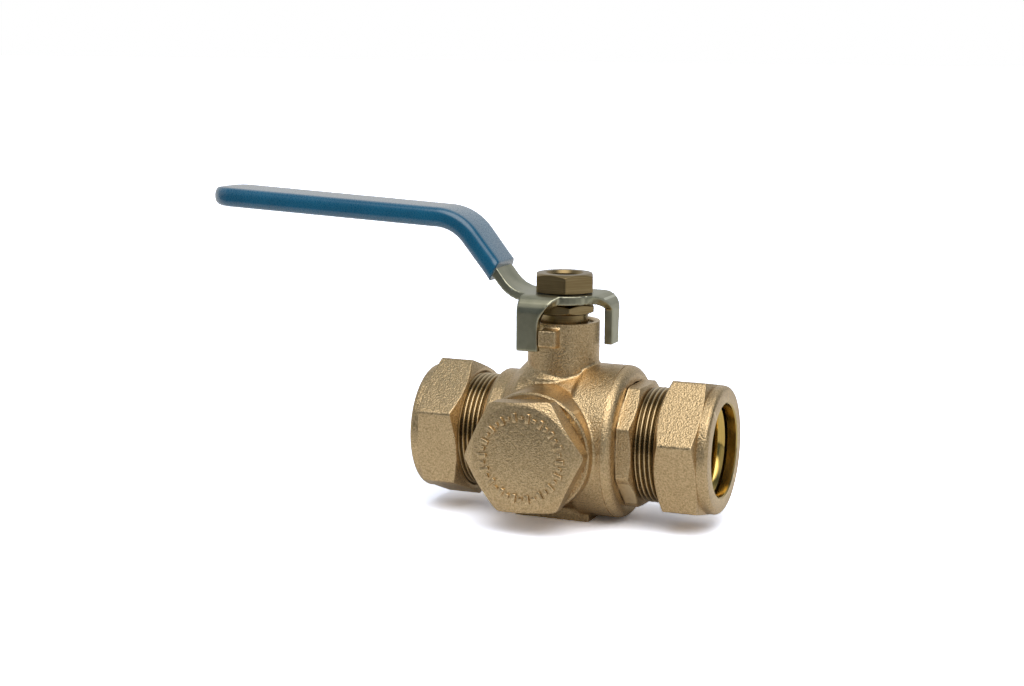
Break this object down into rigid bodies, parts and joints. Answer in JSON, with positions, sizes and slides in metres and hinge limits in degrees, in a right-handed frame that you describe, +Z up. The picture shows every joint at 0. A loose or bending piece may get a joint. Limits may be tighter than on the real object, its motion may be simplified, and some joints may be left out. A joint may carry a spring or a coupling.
{
  "type": "lever ball valve with filter port",
  "caption": "Lever ball valve for pipe: compression nuts at both ends, a hexagonal capped service port for a filter inside the ball, and a cranked sleeved lever.",
  "frame": {"origin": "centre of the foot's flat underside, on the stem's axis", "axes": "+X along the pipe towards the end adapter; -Y towards the filter cap; +Z up along the stem. The ball's centre is at (0, 0, 0.0243)."},
  "size_m": [0.1744, 0.0584, 0.0977],
  "materials": {
    "forged_brass": "forged and shot-blasted, satin with a fine grain",
    "turned_brass": "turned, with fine tool marks",
    "zinc_steel": "zinc-plated and passivated, slightly yellow-grey",
    "blue_pvc": "dipped blue vinyl, glossy",
    "chromed_brass": "polished and hard-chromed",
    "ptfe": "white PTFE",
    "rubber": "black nitrile",
    "stainless": "stainless wire and strip"
  },
  "bodies": {
    "body": {"valve_body": "forged_brass", "end_adapter": "forged_brass", "body_seal": "ptfe", "left_seat": "ptfe", "right_seat": "ptfe", "stem_packing": "ptfe", "gland_nut": "turned_brass"},
    "lever": {"lever": "zinc_steel", "lever_grip": "blue_pvc", "lever_nut": "turned_brass", "stem": "turned_brass", "stem_washer": "ptfe"},
    "ball": {"ball": "chromed_brass", "filter_screen": "stainless", "filter_ring": "stainless", "filter_clip": "stainless"},
    "cap_seal": {"cap_seal": "rubber"},
    "filter_cap": {"filter_cap": "forged_brass"},
    "left_olive": {"left_olive": "turned_brass"},
    "left_nut": {"left_nut": "forged_brass"},
    "right_olive": {"right_olive": "turned_brass"},
    "right_nut": {"right_nut": "forged_brass"}
  },
  "joints": [
    {"name": "lever_turn", "type": "hinge", "parent": "body", "child": "lever", "pos_m": [0, 0, 0.0243], "axis": [0, 0, 1], "range_deg": [-90, 0]},
    {"name": "ball_turn", "type": "hinge", "parent": "body", "child": "ball", "pos_m": [0, 0, 0.0243], "axis": [0, 0, 1], "range_deg": [-90, 0]},
    {"name": "cap_travel", "type": "slide", "parent": "body", "child": "cap_seal", "axis": [0, -1, 0], "range_m": [0, 0.00675]},
    {"name": "cap_spin", "type": "hinge", "parent": "cap_seal", "child": "filter_cap", "pos_m": [0, 0, 0.0243], "axis": [0, -1, 0], "range_deg": [0, 1620]},
    {"name": "left_nut_travel", "type": "slide", "parent": "body", "child": "left_olive", "axis": [-1, 0, 0], "range_m": [0, 0.0075]},
    {"name": "left_nut_spin", "type": "hinge", "parent": "left_olive", "child": "left_nut", "pos_m": [0, 0, 0.0243], "axis": [-1, 0, 0], "range_deg": [0, 1800]},
    {"name": "right_nut_travel", "type": "slide", "parent": "body", "child": "right_olive", "axis": [1, 0, 0], "range_m": [0, 0.0075]},
    {"name": "right_nut_spin", "type": "hinge", "parent": "right_olive", "child": "right_nut", "pos_m": [0, 0, 0.0243], "axis": [1, 0, 0], "range_deg": [0, 1800]}
  ],
  "couplings": [
    {"joint": "ball_turn", "follows": "lever_turn", "ratio": 1},
    {"joint": "cap_travel", "follows": "cap_spin", "m_per_rad": 0.00023873},
    {"joint": "left_nut_travel", "follows": "left_nut_spin", "m_per_rad": 0.00023873},
    {"joint": "right_nut_travel", "follows": "right_nut_spin", "m_per_rad": 0.00023873}
  ]
}
